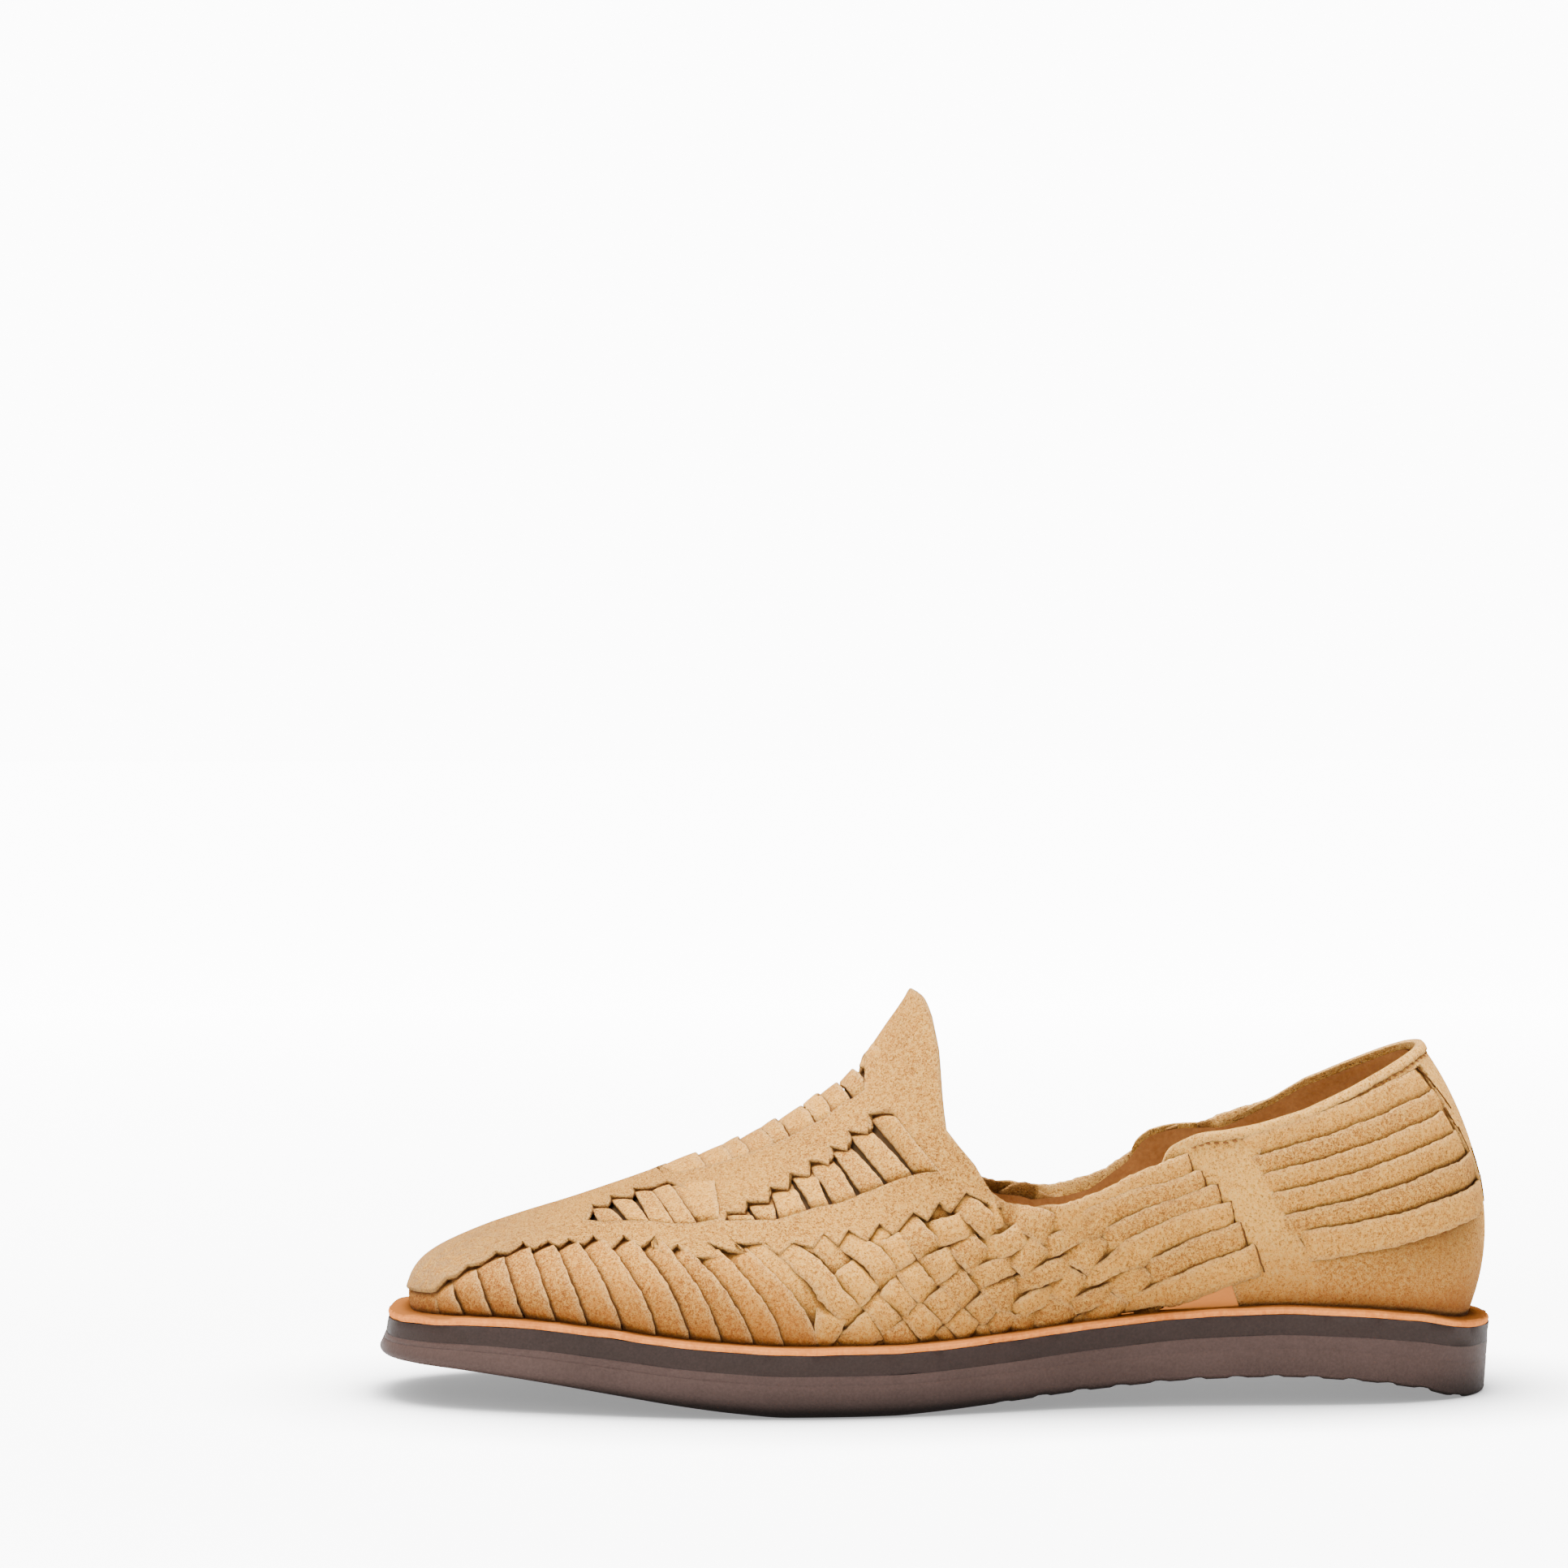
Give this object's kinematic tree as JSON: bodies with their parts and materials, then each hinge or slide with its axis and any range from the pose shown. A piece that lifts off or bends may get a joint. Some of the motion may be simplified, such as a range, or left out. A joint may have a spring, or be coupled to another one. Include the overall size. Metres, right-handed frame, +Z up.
{
  "type": "sandal",
  "caption": "Woven suede slip-on huarache sandal, left shoe: hollow upper with a pointed tongue and an open collar, suede heel counter, leather footbed board on a layered foam-rubber sole.",
  "frame": {"origin": "on the floor under the middle of the sole's bounding box", "axes": "+X to the toe, +Y to the outer (lateral) side of the left foot, +Z up"},
  "size_m": [0.2903, 0.1033, 0.1044],
  "materials": {
    "light_foam": "matt foam rubber, mauve-brown",
    "dark_foam": "matt foam rubber, dark brown",
    "tan_leather": "bare tan leather, smooth top and fibrous edge",
    "suede": "sand-coloured suede, napped",
    "counter_suede": "sand-coloured suede, napped, more orange toward the sole"
  },
  "bodies": {
    "root": {"outsole": "light_foam", "midsole": "dark_foam", "footbed": "tan_leather", "upper": "suede", "heel_counter": "counter_suede"}
  },
  "joints": []
}
